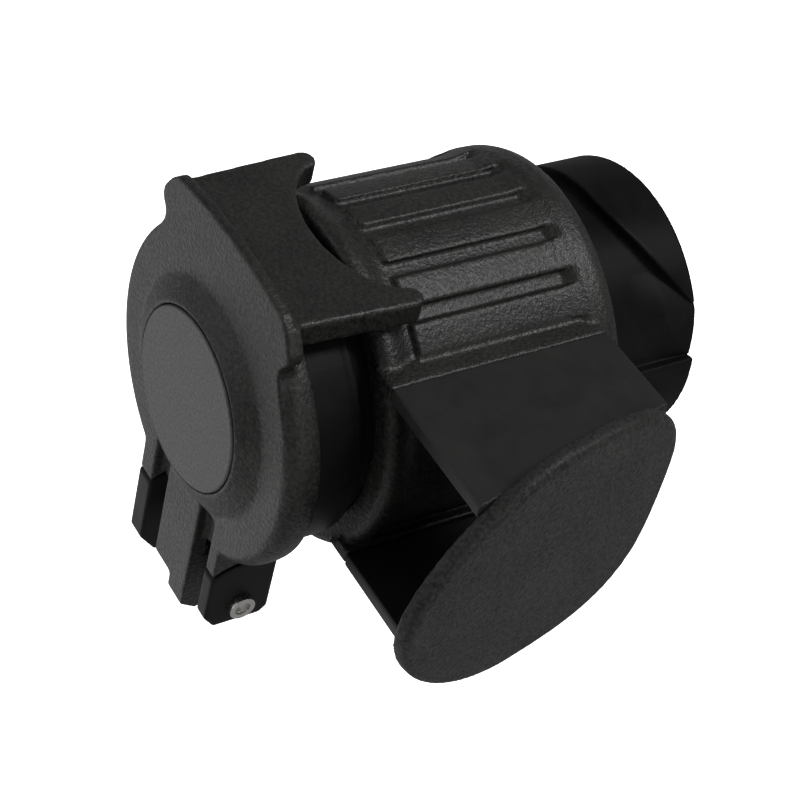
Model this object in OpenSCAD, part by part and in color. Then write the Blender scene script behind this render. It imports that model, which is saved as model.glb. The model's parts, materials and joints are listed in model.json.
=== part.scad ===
// Adapter between a 13-pin towing socket and a 7-pin trailer plug.
// The axis of the connector is Y. Y = 0 is the lid's outer face and +Y runs to the plug end.
// +X points at the turning handle, +Z at the lid's finger tab. Millimetres.

/* [Connector] */
// Length from the lid's face to the plug end
total_l = 76.9; // [76.9:0.1:80]
// Outer radius of the socket barrel
barrel_r = 24; // [23.8:0.1:24]
// Radius of the socket's cavity
cavity_r = 20.5; // [20:0.1:20.8]
// Depth of the socket's cavity in front of its contacts
cavity_depth = 20; // [18:0.5:20]

/* [Lid] */
// Outer radius of the lid
lid_r = 26.1; // [25.8:0.1:26.4]
// Radius of the plain disc set in the lid
disc_r = 14; // [12:0.1:14.1]
// Reach of the fish-tail finger tab behind the lid's face
tab_reach = 25; // [22:0.1:25]
// Half width of the finger tab across its tips
tab_half_w = 17.4; // [16:0.1:17.5]

/* [Hinge] */
// Height of the hinge pin behind the lid's face
pin_y = 8.2;
// Distance of the hinge pin below the connector's axis
pin_drop = 35;
// Radius of the hinge pin
pin_r = 1.5; // [1.4:0.1:1.5]

/* [Grip sleeve] */
// Radius over the grip pads
pad_r = 26.95; // [26.5:0.05:27.2]
// Number of grip pads
pad_count = 18; // [18]
// Angle that each pad spans
pad_angle = 10.2; // [8:0.1:12]
// Angle between neighbouring pads
pad_pitch = 15.41;
// Angle from the handle to the first pad
pad_first = 43.9;

/* [Handle] */
// Half width over the handle's two plates
plate_z = 18.3; // [17.5:0.1:18.3]
// Thickness of each plate
plate_t = 2.4; // [2:0.1:2.8]
// Half length of the handle's cap
cap_half_l = 26.1; // [24:0.1:28]
// Half width of the handle's cap
cap_half_w = 22.4; // [20:0.1:24]
// Thickness of the cap
cap_t = 2.6; // [2.5:0.1:3.5]
// Slope of the cap against the connector's axis
cap_tilt = 11.7; // [8:0.1:13]

/* [Bayonet] */
// Outer radius of the bayonet lands
land_r = 22.5; // [22.3:0.05:22.6]
// Radius of the groove floor between the lands
groove_r = 20.7; // [20.4:0.1:21]
// Number of bayonet lands
land_count = 3; // [3]

/* [Contacts] */
// Radius of the circle of socket contacts
contact_circle_r = 11.5; // [11:0.1:12]
// Radius of the circle of plug pins
pin_circle_r = 13.2; // [12.5:0.1:13.2]
// Radius of a plug pin
plug_pin_r = 1.25; // [1.1:0.05:1.25]

/* [Hidden] */
// Contacts, pins and leads, one of each for every circuit
circuits = 7;

$fn = 96;
eps = 0.01;

// Stations along Y
barrel_y0 = 6.3;                          // mouth of the barrel
barrel_y1 = 15.44;                        // end of the visible barrel
cavity_y1 = barrel_y0 + cavity_depth;     // face of the socket insert
insert_y1 = 37;                           // back of the socket insert
joint_y = 39;                             // joint between the two housings
shoulder_y = 54.3;                        // where the core steps down to the nose
plug_insert_y0 = 53;
plug_insert_y1 = 59;
nose_y1 = total_l - 1.4;                  // end of the plug's shroud
sleeve_y0 = 18.2;
sleeve_y1 = 58.3;

// Radii
core_r = 22;                              // bearing that the grip sleeve turns on
core_fit = 0.05;                          // running clearance of the sleeve
nose_r = 19.2;
shroud_r = 17.4;                          // inside of the plug's shroud
mouth_r = 17.8;                           // wider mouth of the shroud
mouth_l = 4.5;
wiring_r = 18.5;                          // space for the leads
counterbore_r = 24.6;                     // bayonet sleeve's seat in the grip sleeve

// Maps a profile of radius against station onto the Y axis. Angles run from +X to +Z.
module about_y() mirror([0, 1, 0]) rotate([90, 0, 0]) children();

module tube(y0, y1, r_out, r_in) {
    about_y() translate([0, 0, y0]) difference() {
        cylinder(r = r_out, h = y1 - y0);
        translate([0, 0, -1]) cylinder(r = r_in, h = y1 - y0 + 2);
    }
}

module rod(y0, y1, r) about_y() translate([0, 0, y0]) cylinder(r = r, h = y1 - y0);

// A round bar along X through the hinge axis
module hinge_bar(x0, x1, r) {
    translate([x0, pin_y, -pin_drop]) rotate([0, 90, 0]) cylinder(r = r, h = x1 - x0, $fn = 64);
}

// A plate with the outline [y, z], from x0 to x1
module side_plate(x0, x1, outline) {
    translate([x0, 0, 0]) rotate([90, 0, 90]) linear_extrude(x1 - x0) polygon(outline);
}

function on_circle(r, a, y) = [r * cos(a), y, r * sin(a)];

// Egg-shaped superellipse of half length a and half width b: one exponent for the end at -X and
// a squarer one for the end at +X
function superellipse(a, b, n_low, n_high, steps) = [
    for (i = [0:steps - 1]) let (t = 360 * i / steps, c = cos(t), s = sin(t), n = c < 0 ? n_low : n_high)
        [a * sign(c) * pow(abs(c), 2 / n), b * sign(s) * pow(abs(s), 2 / n)]];

// ---------- Swept round wires ----------
function unit(v) = v / norm(v);
// Ring of points around p, square to direction d, with one side held towards up
function wire_ring(p, d, up, r, sides) =
    let (u = unit(cross(up, d)), v = cross(d, u))
    [for (k = [0:sides - 1]) p + r * (cos(360 * k / sides) * u + sin(360 * k / sides) * v)];

module wire(path, r, up, sides = 8) {
    n = len(path);
    dirs = [for (i = [0:n - 1]) unit(path[min(i + 1, n - 1)] - path[max(i - 1, 0)])];
    rings = [for (i = [0:n - 1]) each wire_ring(path[i], dirs[i], up, r, sides)];
    faces = concat(
        [[for (k = [0:sides - 1]) k]],
        [for (i = [0:n - 2], k = [0:sides - 1])
            [i * sides + k, (i + 1) * sides + k,
             (i + 1) * sides + (k + 1) % sides, i * sides + (k + 1) % sides]],
        [[for (k = [sides - 1:-1:0]) (n - 1) * sides + k]]);
    polyhedron(rings, faces, convexity = 6);
}

// ---------- Housings ----------
screw_circle_r = 20.5;
screw_angles = [90, 210, 330];
screw_shank_r = 0.7;
screw_head_r = 1.2;
screw_y0 = 33.5;
screw_head_l = 1.2;
o_ring_y = [29.5, 31.1];
o_ring_floor_r = 20.6;
rear_groove_y = [62, 63.4];
rear_groove_r = 18.3;
snap_groove_y = [50.5, 51.7];
snap_groove_r = 21.4;

// Hinge ears of the housing. Each has its own foot, so the profile takes its lowest edge.
ear_front_y = 2.3;
ear_back_y = 13.5;
ear_relief_r = 9.5;
left_ear_x = [-12.7, -8.8];
right_ear_x = [9.9, 12.8];

module ear(span, foot_z, toe_y, toe_z) {
    difference() {
        side_plate(span[0], span[1], [
            [8.4, -21.5], [ear_back_y, -21.5], [ear_back_y, foot_z + 1.2], [ear_back_y - 1.2, foot_z],
            [toe_y, foot_z], [ear_front_y, toe_z], [ear_front_y, -24], [8.4, -24]]);
        difference() {
            translate([span[0] - 1, -2, -pin_drop]) cube([span[1] - span[0] + 2, 10.4, 20]);
            hinge_bar(span[0] - 2, span[1] + 2, ear_relief_r);
        }
        hinge_bar(span[0] - 1, span[1] + 1, pin_r);
    }
}

module screw_holes(r) {
    for (a = screw_angles) about_y() rotate([0, 0, a]) translate([screw_circle_r, 0, screw_y0])
        cylinder(r = r, h = 30, $fn = 24);
}

module socket_housing() {
    color("#26272a") difference() {
        union() {
            rod(barrel_y0, 14, barrel_r);
            rod(14, barrel_y1, barrel_r - 0.1);
            rod(barrel_y1, joint_y, core_r);
            ear(left_ear_x, -44, 5.2, -40.2);
            ear(right_ear_x, -38.8, 4.2, -36.4);
            // wall that the spring's fixed leg bears on
            translate([-4.2, 12, -27.5]) cube([9.4, 1.5, 6]);
        }
        rod(barrel_y0 - 1, cavity_y1, cavity_r);
        rod(cavity_y1 - 1, cavity_y1 + 2, shroud_r + 0.05);
        rod(cavity_y1 + 2, joint_y + 1, wiring_r);
        // polarising slot of the socket
        translate([-2, barrel_y0 - 1, cavity_r - 0.6]) cube([4, cavity_depth - 1, 1.8]);
        tube(o_ring_y[0], o_ring_y[1], core_r + 1, o_ring_floor_r);
        screw_holes(screw_shank_r);
    }
}

module plug_housing() {
    color("#26272a") difference() {
        union() {
            rod(joint_y, shoulder_y, core_r);
            rod(shoulder_y - 1, nose_y1, nose_r);
        }
        rod(joint_y - 1, 52, wiring_r);
        rod(51, plug_insert_y0, 16.4);
        rod(plug_insert_y0, nose_y1 + 1, shroud_r);
        rod(nose_y1 - mouth_l, nose_y1 + 1, mouth_r);
        // polarising slot of the plug
        translate([-1.6, plug_insert_y1 + 1, shroud_r - 0.6]) cube([3.2, total_l, 1.3]);
        tube(snap_groove_y[0], snap_groove_y[1], core_r + 1, snap_groove_r);
        tube(rear_groove_y[0], rear_groove_y[1], nose_r + 1, rear_groove_r);
        screw_holes(screw_shank_r + 0.05);
        for (a = screw_angles) about_y() rotate([0, 0, a])
            translate([screw_circle_r, 0, shoulder_y - screw_head_l])
                cylinder(r = screw_head_r + 0.05, h = 5, $fn = 24);
    }
}

module housing_screws() {
    color("silver") for (a = screw_angles) about_y() rotate([0, 0, a]) translate([screw_circle_r, 0, 0])
        difference() {
            union() {
                translate([0, 0, screw_y0 + 0.5])
                    cylinder(r = screw_shank_r, h = shoulder_y - screw_y0 - 1, $fn = 24);
                translate([0, 0, shoulder_y - screw_head_l])
                    cylinder(r = screw_head_r, h = screw_head_l - 0.1, $fn = 24);
            }
            translate([-screw_head_r, -0.2, shoulder_y - 0.5]) cube([2 * screw_head_r, 0.4, 1]);
        }
}

// ---------- Inserts ----------
contact_angles = [30, 90, 150, 210, 270, 330];
plug_angles = [for (i = [0:7]) 22.5 + 45 * i];
// plug position that each socket contact is wired to; the centre contact is the last
wired_to = [0, 1, 3, 4, 5, 7, 6];
contact_r = 2.6;
contact_bore_r = 1.75;
inner_circle_r = 6;
insert_screw_r = 5.6;
insert_screw_angles = [60, 240];

function contact_at(i, y) =
    i < circuits ? on_circle(contact_circle_r, contact_angles[i - 1], y) : [0, y, 0];
function plug_pin_at(i, y) = on_circle(pin_circle_r, plug_angles[wired_to[i - 1]], y);

module at_xz(p) translate([p[0], 0, p[2]]) children();

module insert_screw_holes(r, y0, h) {
    for (a = insert_screw_angles) at_xz(on_circle(insert_screw_r, a, 0)) rod(y0, y0 + h, r, $fn = 24);
}

module socket_insert() {
    color("#1c1d1f") difference() {
        union() {
            rod(cavity_y1, cavity_y1 + 2, shroud_r);
            rod(cavity_y1 + 2, insert_y1, wiring_r - 0.05);
        }
        for (i = [1:circuits]) at_xz(contact_at(i, 0)) rod(cavity_y1 - 1, insert_y1 + 1, contact_r);
        insert_screw_holes(0.9, cavity_y1 - 1, 20);
        insert_screw_holes(1.7, cavity_y1 - 1, 2.4);
    }
}

module socket_contact(i) {
    color("#c9a24a") at_xz(contact_at(i, 0)) difference() {
        union() {
            rod(cavity_y1 + 0.4, insert_y1 + 0.5, contact_r);
            rod(insert_y1 + 0.4, insert_y1 + 4, 1.3);
        }
        rod(cavity_y1 - 1, cavity_y1 + 9, contact_bore_r);
    }
}

module insert_screws() {
    color("silver") for (a = insert_screw_angles) at_xz(on_circle(insert_screw_r, a, 0)) difference() {
        union() {
            rod(cavity_y1 + 0.4, cavity_y1 + 1.4, 1.65, $fn = 24);
            rod(cavity_y1 + 1.3, insert_y1 - 1, 0.9, $fn = 24);
        }
        translate([-2, cavity_y1, -0.25]) cube([4, 0.9, 0.5]);
    }
}

module plug_insert() {
    color("#1c1d1f") difference() {
        rod(plug_insert_y0, plug_insert_y1, shroud_r - 0.03);
        for (a = plug_angles) at_xz(on_circle(pin_circle_r, a, 0))
            rod(plug_insert_y0 - 1, plug_insert_y1 + 1, plug_pin_r);
        for (i = [0:4]) at_xz(on_circle(inner_circle_r, 90 + 72 * i, 0))
            rod(plug_insert_y0 - 1, plug_insert_y1 + 1, plug_pin_r);
    }
}

module plug_pin(i) {
    tip_y = 70;
    color("#d8d6cf") at_xz(plug_pin_at(i, 0)) {
        rod(50.5, tip_y - 1, plug_pin_r, $fn = 32);
        about_y() translate([0, 0, tip_y - 1]) cylinder(r1 = plug_pin_r, r2 = 0.6, h = 1, $fn = 32);
    }
}

// Insulated lead from a socket contact's tail to its plug pin
lead_r = 1.1;
lead_steps = 10;
lead_stub = [0, 0.6, 0];                  // straight length at either end
module lead(i) {
    start = contact_at(i, insert_y1 + 4);
    end = plug_pin_at(i, 50.5);
    a = start + lead_stub;
    b = end - lead_stub;
    curve = [for (k = [0:lead_steps]) let (t = k / lead_steps, s = (1 - cos(180 * t)) / 2)
        [a[0] + (b[0] - a[0]) * s, a[1] + (b[1] - a[1]) * t, a[2] + (b[2] - a[2]) * s]];
    path = concat([start], curve, [end]);
    tints = ["#e8d21c", "#2b5fc4", "#e9e9e6", "#2f8a3c", "#7a4a2a", "#c23028", "#1d1d1f"];
    color(tints[i - 1]) wire(path, lead_r, [0, 0.2, 1]);
}

// ---------- Rings and seals of the core ----------
module retaining_ring() {
    color("#9a9c9f") difference() {
        tube(snap_groove_y[0] + 0.1, snap_groove_y[1] - 0.1, 24.2, snap_groove_r + 0.02);
        translate([-30, 0, -2]) cube([30, 100, 4]);
    }
}

module o_ring(groove, floor_r, out_r) {
    mid = (groove[0] + groove[1]) / 2;
    half = (groove[1] - groove[0]) / 2 - 0.05;
    color("#141414") tube(mid - half, mid + half, out_r, floor_r + 0.02);
}
module front_o_ring() o_ring(o_ring_y, o_ring_floor_r, core_r + 0.02);
module rear_o_ring() o_ring(rear_groove_y, rear_groove_r, nose_r + 0.02);

// ---------- Hinge pin and spring ----------
module hinge_pin() {
    head_r = 2.15;
    head_l = 1.1;
    color("#d9dadb") {
        hinge_bar(left_ear_x[0] - 0.1, right_ear_x[1] + 0.1, pin_r);
        hinge_bar(left_ear_x[0] - 0.6, left_ear_x[0], pin_r + 0.5);
        difference() {
            hinge_bar(right_ear_x[1], right_ear_x[1] + head_l, head_r);
            hinge_bar(right_ear_x[1] + head_l - 0.5, right_ear_x[1] + head_l + 1, 1.3);
        }
    }
}

spring_r = 3;
spring_wire_r = 0.55;
spring_turns = 4.5;
spring_x = [-2.2, 3.2];
module lid_spring() {
    steps = 12;
    count = spring_turns * steps;
    at = function (x, a) [x, pin_y - spring_r * cos(a), -pin_drop + spring_r * sin(a)];
    coil = [for (k = [0:count])
        at(spring_x[0] + (spring_x[1] - spring_x[0]) * k / count, 360 * k / steps)];
    lid_leg = [[spring_x[0], pin_y - spring_r, -29.5], [spring_x[0], pin_y - spring_r, -32.5]];
    fixed_leg = [[spring_x[1], pin_y + spring_r, -33], [spring_x[1], pin_y + spring_r, -25.5]];
    color("#8d9094") wire(concat(lid_leg, coil, fixed_leg), spring_wire_r, [1, 0.05, 0.05]);
}

// ---------- Lid ----------
lid_skirt_y = 7.6;
lid_ceiling_y = 5;
skirt_in_r = barrel_r + 0.35;
slot_left_x = [-8.8, -4.5];
slot_right_x = [5.6, 9.9];
flange_y = 2.42;                          // flat front of the flange, the neck and the knuckle
rim_round = 2.5;                          // rounding of the lid's rim
tab_top_z = 27.4;
brow_top_z = 30.3;
fish_tail_centre_y = 25.4;
fish_tail_a = 14.2;
fish_tail_b = 9.1;

// Half of the lid's round section: disc seat, cone, flat flange, rounded rim, skirt
function lid_profile() = concat(
    [[0, 1.25], [disc_r + 0.12, 1.25], [disc_r + 0.12, 0.15], [disc_r + 0.5, 0.15],
     [18.5, flange_y - 0.12], [19.2, flange_y]],
    [for (t = [0:15:90])
        [lid_r - rim_round * (1 - sin(t)), flange_y + rim_round * (1 - cos(t))]],
    [[lid_r, 6.4], [lid_r - 0.2, lid_skirt_y], [skirt_in_r, lid_skirt_y],
     [skirt_in_r, lid_ceiling_y], [15.5, lid_ceiling_y], [13.8, 3], [0, 3]]);

// The plate that rises from the lid to the finger tab, seen along Y: waisted, then widening
// into a bead with rounded shoulders
neck_side = [[22, 11.5], [20, 15.2], [18.6, 17.4], [17.6, 19.4], [17.4, 20.7], [17.8, 21.6],
    [18.4, 22.2], [18.9, 23.2], [18.9, 24.4], [18.3, 25.6], [17.2, 27.2], [15.5, 28.8]];
function neck_outline() = concat(
    neck_side,
    [for (t = [2:-1:-2]) [t * 5.2, brow_top_z - 1.5 * pow(t / 3, 2)]],
    [for (i = [len(neck_side) - 1:-1:0]) [-neck_side[i][0], neck_side[i][1]]]);

// The fish-tail seen from above: two flaring horns round a bay that clears the sleeve
horn_r = 1.85;                            // rounding of a horn's tip
function horn_tip(angles) = [
    for (t = angles) [tab_half_w - horn_r + horn_r * cos(t), tab_reach - horn_r + horn_r * sin(t)]];
function tail_outline() = concat(
    [[-16.3, 3], [16.3, 3]],
    horn_tip([0:30:150]),
    [for (t = [18:12:162]) [fish_tail_a * cos(t), fish_tail_centre_y - fish_tail_b * sin(t)]],
    [for (p = horn_tip([150:-30:0])) [-p[0], p[1]]]);

module finger_tab() {
    difference() {
        union() {
            translate([0, 5, 0]) rotate([90, 0, 0]) linear_extrude(5 - flange_y) polygon(neck_outline());
            translate([0, 0, 23.4]) linear_extrude(tab_top_z - 23.4) polygon(tail_outline());
        }
        // bead in front, lower shelf behind it
        translate([-20, 4.2, tab_top_z]) cube([40, 5, 10]);
        rod(lid_ceiling_y, 17.6, barrel_r + 0.5);
        rod(17.4, 30, pad_r + 0.45);
    }
}

// Lug beside the slot, cut back round the hinge to clear the housing's ear
module lug(span) {
    difference() {
        side_plate(span[0], span[1], [
            [flange_y, -16.5], [4.6, -16.5], [lid_skirt_y, -23], [lid_skirt_y, -28],
            [flange_y, -28]]);
        hinge_bar(span[0] - 1, span[1] + 1, ear_relief_r + 0.35);
        rod(lid_ceiling_y, 20, skirt_in_r);
    }
}

// Middle arm of the lid: a hollow knuckle round the spring, with a longer rib on one half
module knuckle() {
    difference() {
        union() {
            side_plate(-4.5, 0.6, [
                [flange_y, -13], [lid_ceiling_y, -13], [lid_ceiling_y, -29.8], [11.5, -31],
                [11.5, -37], [10.3, -38.5], [flange_y, -38.3]]);
            side_plate(0.6, 5.6, [
                [flange_y, -13], [lid_ceiling_y, -13], [lid_ceiling_y, -29.8], [11.5, -31],
                [11.5, -39.5], [10, -42.2], [5, -42.6], [flange_y, -40.9]]);
            hinge_bar(-4.5, 5.6, 5.2);
        }
        // spring space, open to the rear
        translate([-2.9, 4.3, -39.8]) cube([6.8, 20, 12]);
        hinge_bar(-10, 10, pin_r + 0.06);
    }
}

module lid_cover() {
    color("#2b2c2e") difference() {
        union() {
            about_y() rotate_extrude($fn = 128) polygon(lid_profile());
            finger_tab();
            lug([-12.7, slot_left_x[0]]);
            lug([slot_right_x[1], 12.6]);
            knuckle();
        }
        // slots either side of the knuckle
        for (s = [slot_left_x, slot_right_x])
            translate([s[0], -1, -40]) cube([s[1] - s[0], 5.2, 23]);
        rod(-1, 1.25, disc_r + 0.12);
        tube(lid_ceiling_y - eps, lid_ceiling_y + 0.35, 23.8, 20.8);
    }
}

module lid_disc() {
    color("#303134") about_y() rotate_extrude($fn = 128)
        polygon([[0, 0], [disc_r - 0.2, 0], [disc_r, 0.2], [disc_r, 1.22], [0, 1.22]]);
}

module lid_seal() color("#141414") tube(lid_ceiling_y, 6.15, 23.7, 20.9);

// ---------- Grip sleeve ----------
body_r = 26;
shelf_x = 23.2;                           // where the plates stand on the sleeve
shelf_z = 18.1;

// Half of the sleeve's round section: front lip, floor between the pads, collar, counterbore
function sleeve_profile() = [
    [core_r + core_fit, sleeve_y0], [25.6, sleeve_y0], [26.2, 18.45], [26.7, 18.95], [26.95, 19.7],
    [26.9, 20.6], [26.6, 21.6], [26.2, 22.7], [body_r, 23.8], [body_r, 51.4], [26.7, 52.1],
    [27.4, 53], [27.7, 53.9], [27.65, 56.3], [27.3, 57.4], [26.9, sleeve_y1],
    [counterbore_r, sleeve_y1], [counterbore_r, 50.2], [core_r + core_fit, 50.2]];

module pads() {
    about_y() for (i = [0:pad_count - 1]) rotate([0, 0, pad_first + pad_pitch * i])
        rotate_extrude(angle = pad_angle)
            polygon([[25.5, 24.3], [pad_r - 0.2, 24.3], [pad_r, 24.6], [pad_r, 49.6],
                     [27.35, 51.8], [27.5, 53.4], [25.5, 53.4]]);
}

module grip_sleeve() {
    color("#2b2c2b") {
        about_y() rotate_extrude($fn = 128) polygon(sleeve_profile());
        pads();
        for (s = [-1, 1]) difference() {
            translate([17, 17.6, s * (shelf_z - 1.35) - 1.35]) cube([shelf_x - 17, 54.4 - 17.6, 2.7]);
            rod(0, 80, 25.7);
        }
    }
}

// ---------- Handle ----------
cap_centre = [43.5, 32.58];               // centre of the cap's inner face, in X and Y
cap_front_n = 1.77;                       // how square the cap's two ends are
cap_rear_n = 3.11;
plate_y = [17.5, 54.4];
function cap_x(y) = cap_centre[0] - (y - cap_centre[1]) * tan(cap_tilt);
function cap_outline(inset) =
    superellipse(cap_half_l - inset, cap_half_w - inset, cap_front_n, cap_rear_n, 72);

module handle_yoke() {
    color("#2d2e2c") for (s = [-1, 1])
        translate([0, 0, s * (plate_z - plate_t / 2) - plate_t / 2]) linear_extrude(plate_t)
            polygon([[shelf_x, plate_y[0]], [cap_x(plate_y[0]), plate_y[0]],
                     [cap_x(plate_y[1]), plate_y[1]], [shelf_x, plate_y[1]]]);
}

module handle_cap() {
    edge = 0.9;
    color("#303130") translate([cap_centre[0], cap_centre[1], 0]) rotate([0, 0, cap_tilt])
        rotate([90, 0, 90]) {
            linear_extrude(cap_t - edge) polygon(cap_outline(0));
            linear_extrude(cap_t - 0.35 * edge) polygon(cap_outline(0.25 * edge));
            linear_extrude(cap_t) polygon(cap_outline(edge));
        }
}

// ---------- Bayonet sleeve ----------
land_start = 12.9;                        // blunt end of a land
land_span = 120;
ramp_end = 23.5;                          // width of the groove's mouth at the plug end
land_y0 = 66.3;
ramp_reach = 75.1;                        // angle at which the ramp meets the land's edge
function ramp_y(a) = land_y0 + 0.01838 * pow(max(ramp_reach - a, 0), 1.6);

// One land, measured from its neighbour's blunt end: the ramp is cut from a plain sector
module land() {
    steps = 12;
    a0 = ramp_end - 4;
    a1 = ramp_reach - 3;
    mid = (a0 + a1) / 2;
    r_in = groove_r - 1.3;
    difference() {
        rotate([0, 0, ramp_end]) rotate_extrude(angle = land_span - ramp_end)
            translate([r_in, land_y0]) square([land_r - r_in, total_l - land_y0]);
        rotate([0, 0, mid]) translate([r_in - 4, 0, 0]) rotate([90, 0, 90])
            linear_extrude(8) polygon(concat(
                [for (k = [0:steps]) let (a = a0 + (a1 - a0) * k / steps)
                    [land_r * sin(a - mid), ramp_y(a)]],
                [[land_r * sin(a1 - mid), land_y0 - 1], [land_r * sin(a0 - mid), land_y0 - 1]]));
    }
}

module bayonet_sleeve() {
    bore = nose_r + 0.06;
    color("#232427") difference() {
        union() {
            rod(shoulder_y + 0.3, 58, counterbore_r - 0.02);
            rotate([0, -land_start - ramp_end / 2, 0]) rod(57, total_l, groove_r);
            about_y() for (i = [0:land_count - 1]) rotate([0, 0, land_start + land_span * i]) land();
        }
        rod(50, total_l + 1, bore);
    }
}

// Flat rubber ring in the collar's end, which meets the towing socket's rim
module coupling_gasket() color("#141414") tube(58, 58.9, 24.5, 22.9);

// ---------- Assembly ----------
socket_housing();
plug_housing();
socket_insert();
plug_insert();
hinge_pin();
lid_spring();
housing_screws();
insert_screws();
retaining_ring();
front_o_ring();
rear_o_ring();
lid_cover();
lid_disc();
lid_seal();
grip_sleeve();
bayonet_sleeve();
handle_yoke();
handle_cap();
coupling_gasket();
for (i = [1:circuits]) {
    socket_contact(i);
    plug_pin(i);
    lead(i);
}
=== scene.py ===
"""Looks of a 13-pin to 7-pin trailer wiring adapter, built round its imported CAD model.

The frame is the part's own, in metres: Y runs along the connector from the lid's face to the plug
end, +X points at the turning handle and +Z at the lid's finger tab.
"""

import json
import math

import bpy
from mathutils import Matrix, Vector


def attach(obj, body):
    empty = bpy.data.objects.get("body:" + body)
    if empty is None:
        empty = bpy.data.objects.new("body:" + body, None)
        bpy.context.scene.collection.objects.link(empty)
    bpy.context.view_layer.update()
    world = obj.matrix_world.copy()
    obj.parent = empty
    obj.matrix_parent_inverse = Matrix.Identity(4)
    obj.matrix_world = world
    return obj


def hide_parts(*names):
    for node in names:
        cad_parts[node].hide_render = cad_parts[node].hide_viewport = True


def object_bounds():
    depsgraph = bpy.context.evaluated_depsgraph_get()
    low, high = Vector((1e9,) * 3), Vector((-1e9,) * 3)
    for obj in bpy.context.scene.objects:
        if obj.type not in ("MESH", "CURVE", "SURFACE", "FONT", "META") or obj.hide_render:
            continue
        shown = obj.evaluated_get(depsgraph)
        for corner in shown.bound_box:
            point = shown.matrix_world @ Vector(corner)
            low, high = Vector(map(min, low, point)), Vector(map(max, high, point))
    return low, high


MM = 0.001

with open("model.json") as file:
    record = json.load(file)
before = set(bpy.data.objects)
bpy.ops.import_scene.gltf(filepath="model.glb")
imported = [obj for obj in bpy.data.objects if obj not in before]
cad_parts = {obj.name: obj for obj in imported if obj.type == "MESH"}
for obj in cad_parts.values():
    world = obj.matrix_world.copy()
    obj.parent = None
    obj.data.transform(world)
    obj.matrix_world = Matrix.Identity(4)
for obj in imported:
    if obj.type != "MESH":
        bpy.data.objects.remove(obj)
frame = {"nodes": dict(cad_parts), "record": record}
cad_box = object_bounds()
nodes = frame["nodes"]
body_of_node = {n: b for b, ns in frame["record"]["behaviour"]["bodies"].items() for n in ns}
slot_of_node = {s["node"]: s["material_slot"] for s in frame["record"]["subparts"]}


# ---------- Camera ----------
CAMERA_PLACE = Vector((183.83, -122.39, 211.34)) * MM
CAMERA_RIGHT = Vector((0.50092, 0.84223, 0.19930))
CAMERA_UP = Vector((-0.66565, 0.22774, 0.71066))
LENS_MM = 94.62
SENSOR_MM = 36.0


def add_camera():
    data = bpy.data.cameras.new("camera")
    data.lens = LENS_MM
    data.sensor_width = SENSOR_MM
    data.clip_start = 0.01
    data.clip_end = 20
    camera = bpy.data.objects.new("camera", data)
    bpy.context.scene.collection.objects.link(camera)
    right = CAMERA_RIGHT.normalized()
    up = (CAMERA_UP - right * CAMERA_UP.dot(right)).normalized()
    back = right.cross(up)
    turn = Matrix((right, up, back)).transposed().to_4x4()
    camera.matrix_world = Matrix.Translation(CAMERA_PLACE) @ turn
    bpy.context.scene.camera = camera


add_camera()


# ---------- Materials ----------
def node_material(name):
    """A new material, its node tree, its shader and its object coordinates."""
    material = bpy.data.materials.new(name)
    material.use_nodes = True
    tree = material.node_tree
    shader = tree.nodes["Principled BSDF"]
    place = tree.nodes.new("ShaderNodeTexCoord")
    return material, tree, shader, place.outputs["Object"]


def noise(tree, place, scale, detail=2.0, roughness=0.5, distortion=0.0):
    n = tree.nodes.new("ShaderNodeTexNoise")
    n.inputs["Scale"].default_value = scale
    n.inputs["Detail"].default_value = detail
    n.inputs["Roughness"].default_value = roughness
    n.inputs["Distortion"].default_value = distortion
    tree.links.new(place, n.inputs["Vector"])
    return n.outputs["Fac"]


def spread(tree, value, low, high, out_low, out_high):
    """Maps low..high of a value to out_low..out_high."""
    n = tree.nodes.new("ShaderNodeMapRange")
    n.inputs["From Min"].default_value = low
    n.inputs["From Max"].default_value = high
    n.inputs["To Min"].default_value = out_low
    n.inputs["To Max"].default_value = out_high
    tree.links.new(value, n.inputs["Value"])
    return n.outputs["Result"]


def shades(tree, value, dark, light):
    """A colour between dark and light, where value runs from 0 to 1."""
    ramp = tree.nodes.new("ShaderNodeValToRGB")
    ramp.color_ramp.elements[0].color = (*dark, 1)
    ramp.color_ramp.elements[1].color = (*light, 1)
    tree.links.new(value, ramp.inputs["Fac"])
    return ramp.outputs["Color"]


def maths(tree, operation, a, b):
    n = tree.nodes.new("ShaderNodeMath")
    n.operation = operation
    for socket, value in zip(n.inputs, (a, b)):
        if isinstance(value, float):
            socket.default_value = value
        else:
            tree.links.new(value, socket)
    return n.outputs["Value"]


def bump(tree, height, depth, under=None):
    """Relief of a height that runs from 0 to 1, depth metres deep."""
    n = tree.nodes.new("ShaderNodeBump")
    n.inputs["Strength"].default_value = 1
    n.inputs["Distance"].default_value = depth
    tree.links.new(height, n.inputs["Height"])
    if under is not None:
        tree.links.new(under, n.inputs["Normal"])
    return n.outputs["Normal"]


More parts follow.
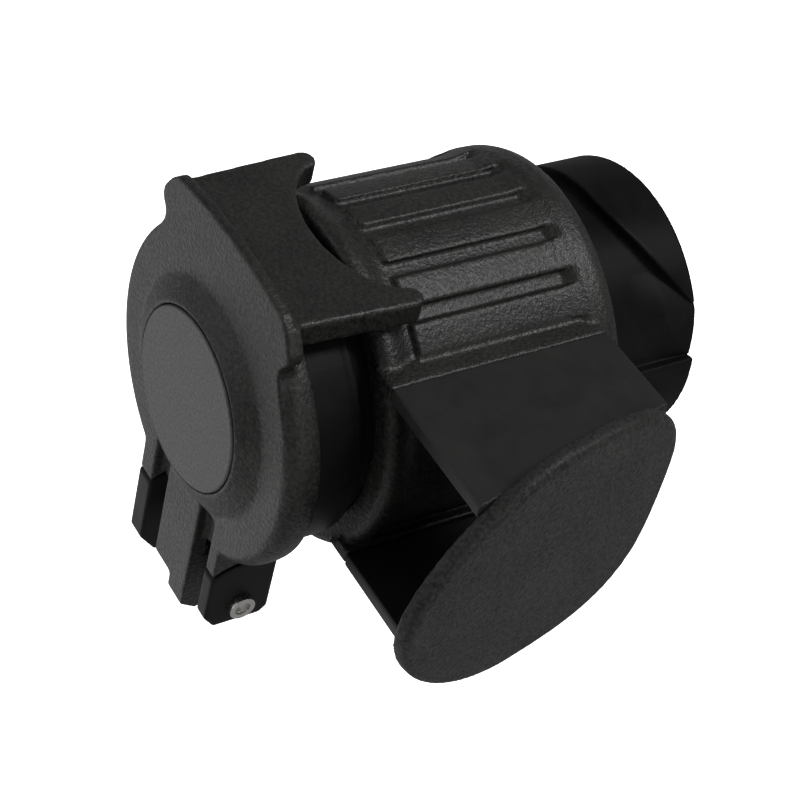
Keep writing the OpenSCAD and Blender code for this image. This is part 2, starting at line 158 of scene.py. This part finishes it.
def grained_plastic(name, dark, light, grain_mm, depth_mm, rough, specular=0.5):
    """Moulded plastic with a spark-eroded grain: pits of one size over a slow unevenness."""
    material, tree, shader, place = node_material(name)
    grain = noise(tree, place, 1 / (grain_mm * MM), detail=3, roughness=0.6)
    slow = noise(tree, place, 90, detail=3, roughness=0.55)
    flecks = spread(tree, grain, 0.35, 0.7, 0, 1)
    patches = spread(tree, slow, 0.3, 0.7, 0, 1)
    mix = maths(tree, "ADD", maths(tree, "MULTIPLY", flecks, 0.7), maths(tree, "MULTIPLY", patches, 0.3))
    tree.links.new(shades(tree, mix, dark, light), shader.inputs["Base Color"])
    uneven = maths(tree, "ADD", spread(tree, grain, 0.3, 0.7, rough + 0.08, rough - 0.06),
                   spread(tree, slow, 0.3, 0.7, -0.03, 0.04))
    tree.links.new(uneven, shader.inputs["Roughness"])
    shader.inputs["Specular IOR Level"].default_value = specular
    wave = bump(tree, noise(tree, place, 160, detail=1), 0.02 * MM)
    tree.links.new(bump(tree, grain, depth_mm * MM, wave), shader.inputs["Normal"])
    return material


def satin_plastic(name, dark, light, rough, specular=0.5):
    """Smooth moulded plastic, with faint flow marks and fine scuffs."""
    material, tree, shader, place = node_material(name)
    slow = noise(tree, place, 140, detail=3, roughness=0.6, distortion=0.4)
    fine = noise(tree, place, 2600, detail=2)
    tree.links.new(shades(tree, spread(tree, slow, 0.3, 0.7, 0, 1), dark, light), shader.inputs["Base Color"])
    uneven = maths(tree, "ADD", spread(tree, slow, 0.3, 0.7, rough - 0.04, rough + 0.06),
                   spread(tree, fine, 0.3, 0.7, -0.03, 0.03))
    tree.links.new(uneven, shader.inputs["Roughness"])
    shader.inputs["Specular IOR Level"].default_value = specular
    wave = bump(tree, slow, 0.03 * MM)
    tree.links.new(bump(tree, fine, 0.012 * MM, wave), shader.inputs["Normal"])
    return material


def rubber(name, shade):
    material, tree, shader, place = node_material(name)
    fine = noise(tree, place, 1800, detail=3)
    light = tuple(c * 1.6 for c in shade)
    tree.links.new(shades(tree, fine, shade, light), shader.inputs["Base Color"])
    tree.links.new(spread(tree, fine, 0.3, 0.7, 0.6, 0.75), shader.inputs["Roughness"])
    tree.links.new(bump(tree, fine, 0.01 * MM), shader.inputs["Normal"])
    return material


def metal(name, dark, light, rough, brush_scale):
    """Drawn or turned metal: streaks across the axis, and a slow change of tone."""
    material, tree, shader, place = node_material(name)
    stretch = tree.nodes.new("ShaderNodeMapping")
    stretch.inputs["Scale"].default_value = brush_scale
    tree.links.new(place, stretch.inputs["Vector"])
    streaks = noise(tree, stretch.outputs["Vector"], 900, detail=3)
    slow = noise(tree, place, 700, detail=2)
    tree.links.new(shades(tree, slow, dark, light), shader.inputs["Base Color"])
    shader.inputs["Metallic"].default_value = 1
    tree.links.new(spread(tree, streaks, 0.3, 0.7, rough - 0.06, rough + 0.1), shader.inputs["Roughness"])
    tree.links.new(bump(tree, streaks, 0.006 * MM), shader.inputs["Normal"])
    return material


def insulation(name, colour):
    material, tree, shader, place = node_material(name)
    fine = noise(tree, place, 900, detail=2)
    dark = tuple(c * 0.75 for c in colour)
    tree.links.new(shades(tree, fine, dark, colour), shader.inputs["Base Color"])
    tree.links.new(spread(tree, fine, 0.3, 0.7, 0.32, 0.45), shader.inputs["Roughness"])
    tree.links.new(bump(tree, fine, 0.008 * MM), shader.inputs["Normal"])
    return material


def grey(shade):
    return (shade, shade, shade)


# name: dark, light, size of the grain in mm, its depth in mm, roughness, specular level
GRAINED = {
    "grained_plastic": (grey(0.001), (0.017, 0.017, 0.0156), 0.62, 0.17, 0.38, 0.24),
    # disc_plastic is lighter than the lid's grained_plastic. This is partly the disc's own tone and partly
    # painted reflection, brightening the disc's front face.
    "disc_plastic": (grey(0.015), (0.042, 0.042, 0.041), 0.45, 0.06, 0.5, 0.4),
    "cap_plastic": (grey(0.003), (0.021, 0.021, 0.02), 0.55, 0.12, 0.5, 0.15),
}
# name: dark, light, roughness, specular level
SATIN = {
    "plate_plastic": (grey(0.006), (0.0095, 0.0095, 0.009), 0.48, 0.2),
    "housing_plastic": (grey(0.003), (0.0055, 0.0055, 0.0053), 0.4, 0.08),
    "satin_plastic": (grey(0.003), (0.0055, 0.0055, 0.0053), 0.42, 0.03),
    "insert_plastic": (grey(0.006), grey(0.011), 0.5, 0.3),
}
# name: dark, light, roughness, stretch of the brushing along X, Y and Z
METALS = {
    "bright_steel": ((0.5, 0.49, 0.47), (0.74, 0.73, 0.71), 0.24, (1, 6, 6)),
    "spring_steel": (grey(0.25), grey(0.5), 0.34, (4, 1, 4)),
    "contact_brass": ((0.5, 0.33, 0.1), (0.72, 0.52, 0.2), 0.3, (5, 1, 5)),
    "pin_brass": ((0.5, 0.48, 0.42), (0.72, 0.7, 0.64), 0.28, (5, 1, 5)),
}
INSULATION = {
    "lead_yellow": (0.75, 0.6, 0.03),
    "lead_blue": (0.03, 0.1, 0.5),
    "lead_white": (0.75, 0.75, 0.72),
    "lead_green": (0.03, 0.25, 0.06),
    "lead_brown": (0.16, 0.07, 0.03),
    "lead_red": (0.5, 0.03, 0.02),
    "lead_black": grey(0.015),
}
MATERIALS = {"seal_rubber": rubber("seal_rubber", grey(0.008))}
for name, look in GRAINED.items():
    MATERIALS[name] = grained_plastic(name, *look)
for name, look in SATIN.items():
    MATERIALS[name] = satin_plastic(name, *look)
for name, look in METALS.items():
    MATERIALS[name] = metal(name, *look)
for name, colour in INSULATION.items():
    MATERIALS[name] = insulation(name, colour)


# ---------- Moulded shells ----------
WELD_WITHIN = 1e-6


def apply_modifiers(piece):
    evaluated = piece.evaluated_get(bpy.context.evaluated_depsgraph_get())
    mesh = bpy.data.meshes.new_from_object(evaluated)
    piece.modifiers.clear()
    piece.data = mesh


def finish_piece(piece, node):
    """Smooth shading, the node's material and its body; the piece stands for the node."""
    for face in piece.data.polygons:
        face.use_smooth = True
    piece.data.materials.clear()
    piece.data.materials.append(MATERIALS[slot_of_node[node]])
    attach(piece, body_of_node[node])
    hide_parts(node)


def moulded(node, voxel_mm, rounds):
    """A copy of a CAD node with its sharp edges rounded as a mould leaves them. It replaces the node."""
    mesh = nodes[node].data.copy()
    piece = bpy.data.objects.new(node + "_moulded", mesh)
    bpy.context.scene.collection.objects.link(piece)
    weld = piece.modifiers.new("weld", "WELD")
    weld.merge_threshold = WELD_WITHIN
    remesh = piece.modifiers.new("remesh", "REMESH")
    remesh.mode = "VOXEL"
    remesh.voxel_size = voxel_mm * MM
    smooth = piece.modifiers.new("smooth", "SMOOTH")
    smooth.factor = 0.5
    smooth.iterations = rounds
    apply_modifiers(piece)
    finish_piece(piece, node)
    return piece


# The bayonet's groove mouths. Angles run from +X to +Z, in degrees; lengths are in mm.
MOUTH_START = 12.9                        # a land's blunt end
MOUTH_PITCH = 120
MOUTH_TOP = 21.0                          # where the floor is highest, from the blunt end
MOUTH_FOOT = 40.0                         # where it has fallen back to the groove
RISE_AT_START = 0.4
RISE_AT_TOP = 1.5
RISE_LENGTH = 5
CREASE_AT_START = 70.7
CREASE_SLOPE = 0.238                      # the crease's approach to the collar, per degree
GROOVE_R = 20.7
LANDS_FROM = 66.3


def mouth_rise(degrees, y_mm):
    """Height in mm of the floor of a groove's mouth over the groove, which leads the lugs in."""
    a = (degrees - MOUTH_START) % MOUTH_PITCH
    if a > MOUTH_FOOT:
        return 0
    if a < MOUTH_TOP:
        across = RISE_AT_START + a * (RISE_AT_TOP - RISE_AT_START) / MOUTH_TOP
    else:
        across = RISE_AT_TOP * (MOUTH_FOOT - a) / (MOUTH_FOOT - MOUTH_TOP)
    crease = max(CREASE_AT_START - CREASE_SLOPE * a, LANDS_FROM)
    along = min(max((y_mm - crease) / RISE_LENGTH, 0), 1)
    return across * along


def raise_mouths(piece):
    """Lifts the groove's floor to its ramps, leaving the bore and the lands as they are."""
    for vertex in piece.data.vertices:
        x, y, z = (c / MM for c in vertex.co)
        radius = math.hypot(x, z)
        if y < LANDS_FROM or radius < GROOVE_R - 0.5:
            continue
        wanted = GROOVE_R + mouth_rise(math.degrees(math.atan2(z, x)), y)
        if radius < wanted:
            grow = wanted / radius
            vertex.co.x *= grow
            vertex.co.z *= grow


moulded("lid_cover", 0.28, 11)
moulded("grip_sleeve", 0.32, 5)
moulded("handle_cap", 0.28, 7)
moulded("handle_yoke", 0.3, 2)
raise_mouths(moulded("bayonet_sleeve", 0.28, 4))
moulded("socket_housing", 0.28, 4)


# ---------- CAD nodes that stay ----------
SHARP_ANGLE = math.radians(32)


def dress(node):
    """Material, eased edges and smooth shading on a CAD node that is shown as it is."""
    obj = nodes[node]
    obj.data.materials.clear()
    obj.data.materials.append(MATERIALS[slot_of_node[node]])
    weld = obj.modifiers.new("weld", "WELD")
    weld.merge_threshold = WELD_WITHIN
    ease = obj.modifiers.new("ease", "BEVEL")
    ease.width = 0.12 * MM
    ease.segments = 2
    ease.limit_method = "ANGLE"
    ease.angle_limit = SHARP_ANGLE
    ease.harden_normals = False
    for face in obj.data.polygons:
        face.use_smooth = True
    obj.modifiers.new("shade", "WEIGHTED_NORMAL")


for name in sorted(nodes):
    if not nodes[name].hide_render:
        dress(name)


# ---------- Stage ----------
FLOOR_HALF = 3.0                          # half the floor's side, in metres
FLOOR_DROP = 60 * MM                      # clears the lid when it hangs open
PAPER_GLOW = 0.95                         # lit from behind, so that the shadow stays faint


def stage_material():
    material, tree, shader, place = node_material("paper")
    tree.links.new(shades(tree, noise(tree, place, 6, detail=1), (0.86,) * 3, (0.88,) * 3),
                   shader.inputs["Base Color"])
    shader.inputs["Roughness"].default_value = 0.9
    shader.inputs["Emission Color"].default_value = (1, 1, 1, 1)
    shader.inputs["Emission Strength"].default_value = PAPER_GLOW
    return material


def add_floor():
    z = cad_box[0].z - FLOOR_DROP
    corners = [(x * FLOOR_HALF, y * FLOOR_HALF, z) for x, y in ((-1, -1), (1, -1), (1, 1), (-1, 1))]
    mesh = bpy.data.meshes.new("floor")
    mesh.from_pydata(corners, [], [(0, 1, 2, 3)])
    mesh.materials.append(stage_material())
    floor = bpy.data.objects.new("floor", mesh)
    bpy.context.scene.collection.objects.link(floor)
    floor.visible_glossy = False          # the dark plastic mirrors the dimmer surroundings instead
    floor.visible_shadow = False          # lets the low light through


add_floor()


# ---------- Light ----------
SKY = 0.3
# name: where it comes from, strength, width in degrees
SUNS = {
    "key": ((0.27, 0.4, 0.87), 2.9, 26),
    "fill": ((-0.4, -0.85, 0.35), 0.9, 60),
    "low": ((-0.55, -0.45, -0.65), 0.4, 50),
    "side": ((0.95, 0.25, 0.15), 0.6, 40),
}


def add_sun(name, comes_from, strength, width):
    data = bpy.data.lights.new(name, "SUN")
    data.energy = strength
    data.angle = math.radians(width)
    sun = bpy.data.objects.new(name, data)
    sun.rotation_mode = "QUATERNION"
    sun.rotation_quaternion = Vector(comes_from).to_track_quat("Z", "Y")
    bpy.context.scene.collection.objects.link(sun)


def add_light():
    for name, settings in SUNS.items():
        add_sun(name, *settings)
    world = bpy.data.worlds.new("world")
    world.use_nodes = True
    background = world.node_tree.nodes["Background"]
    background.inputs["Color"].default_value = (1, 1, 1, 1)
    background.inputs["Strength"].default_value = SKY
    bpy.context.scene.world = world
    bpy.context.scene.view_settings.view_transform = "Standard"


add_light()
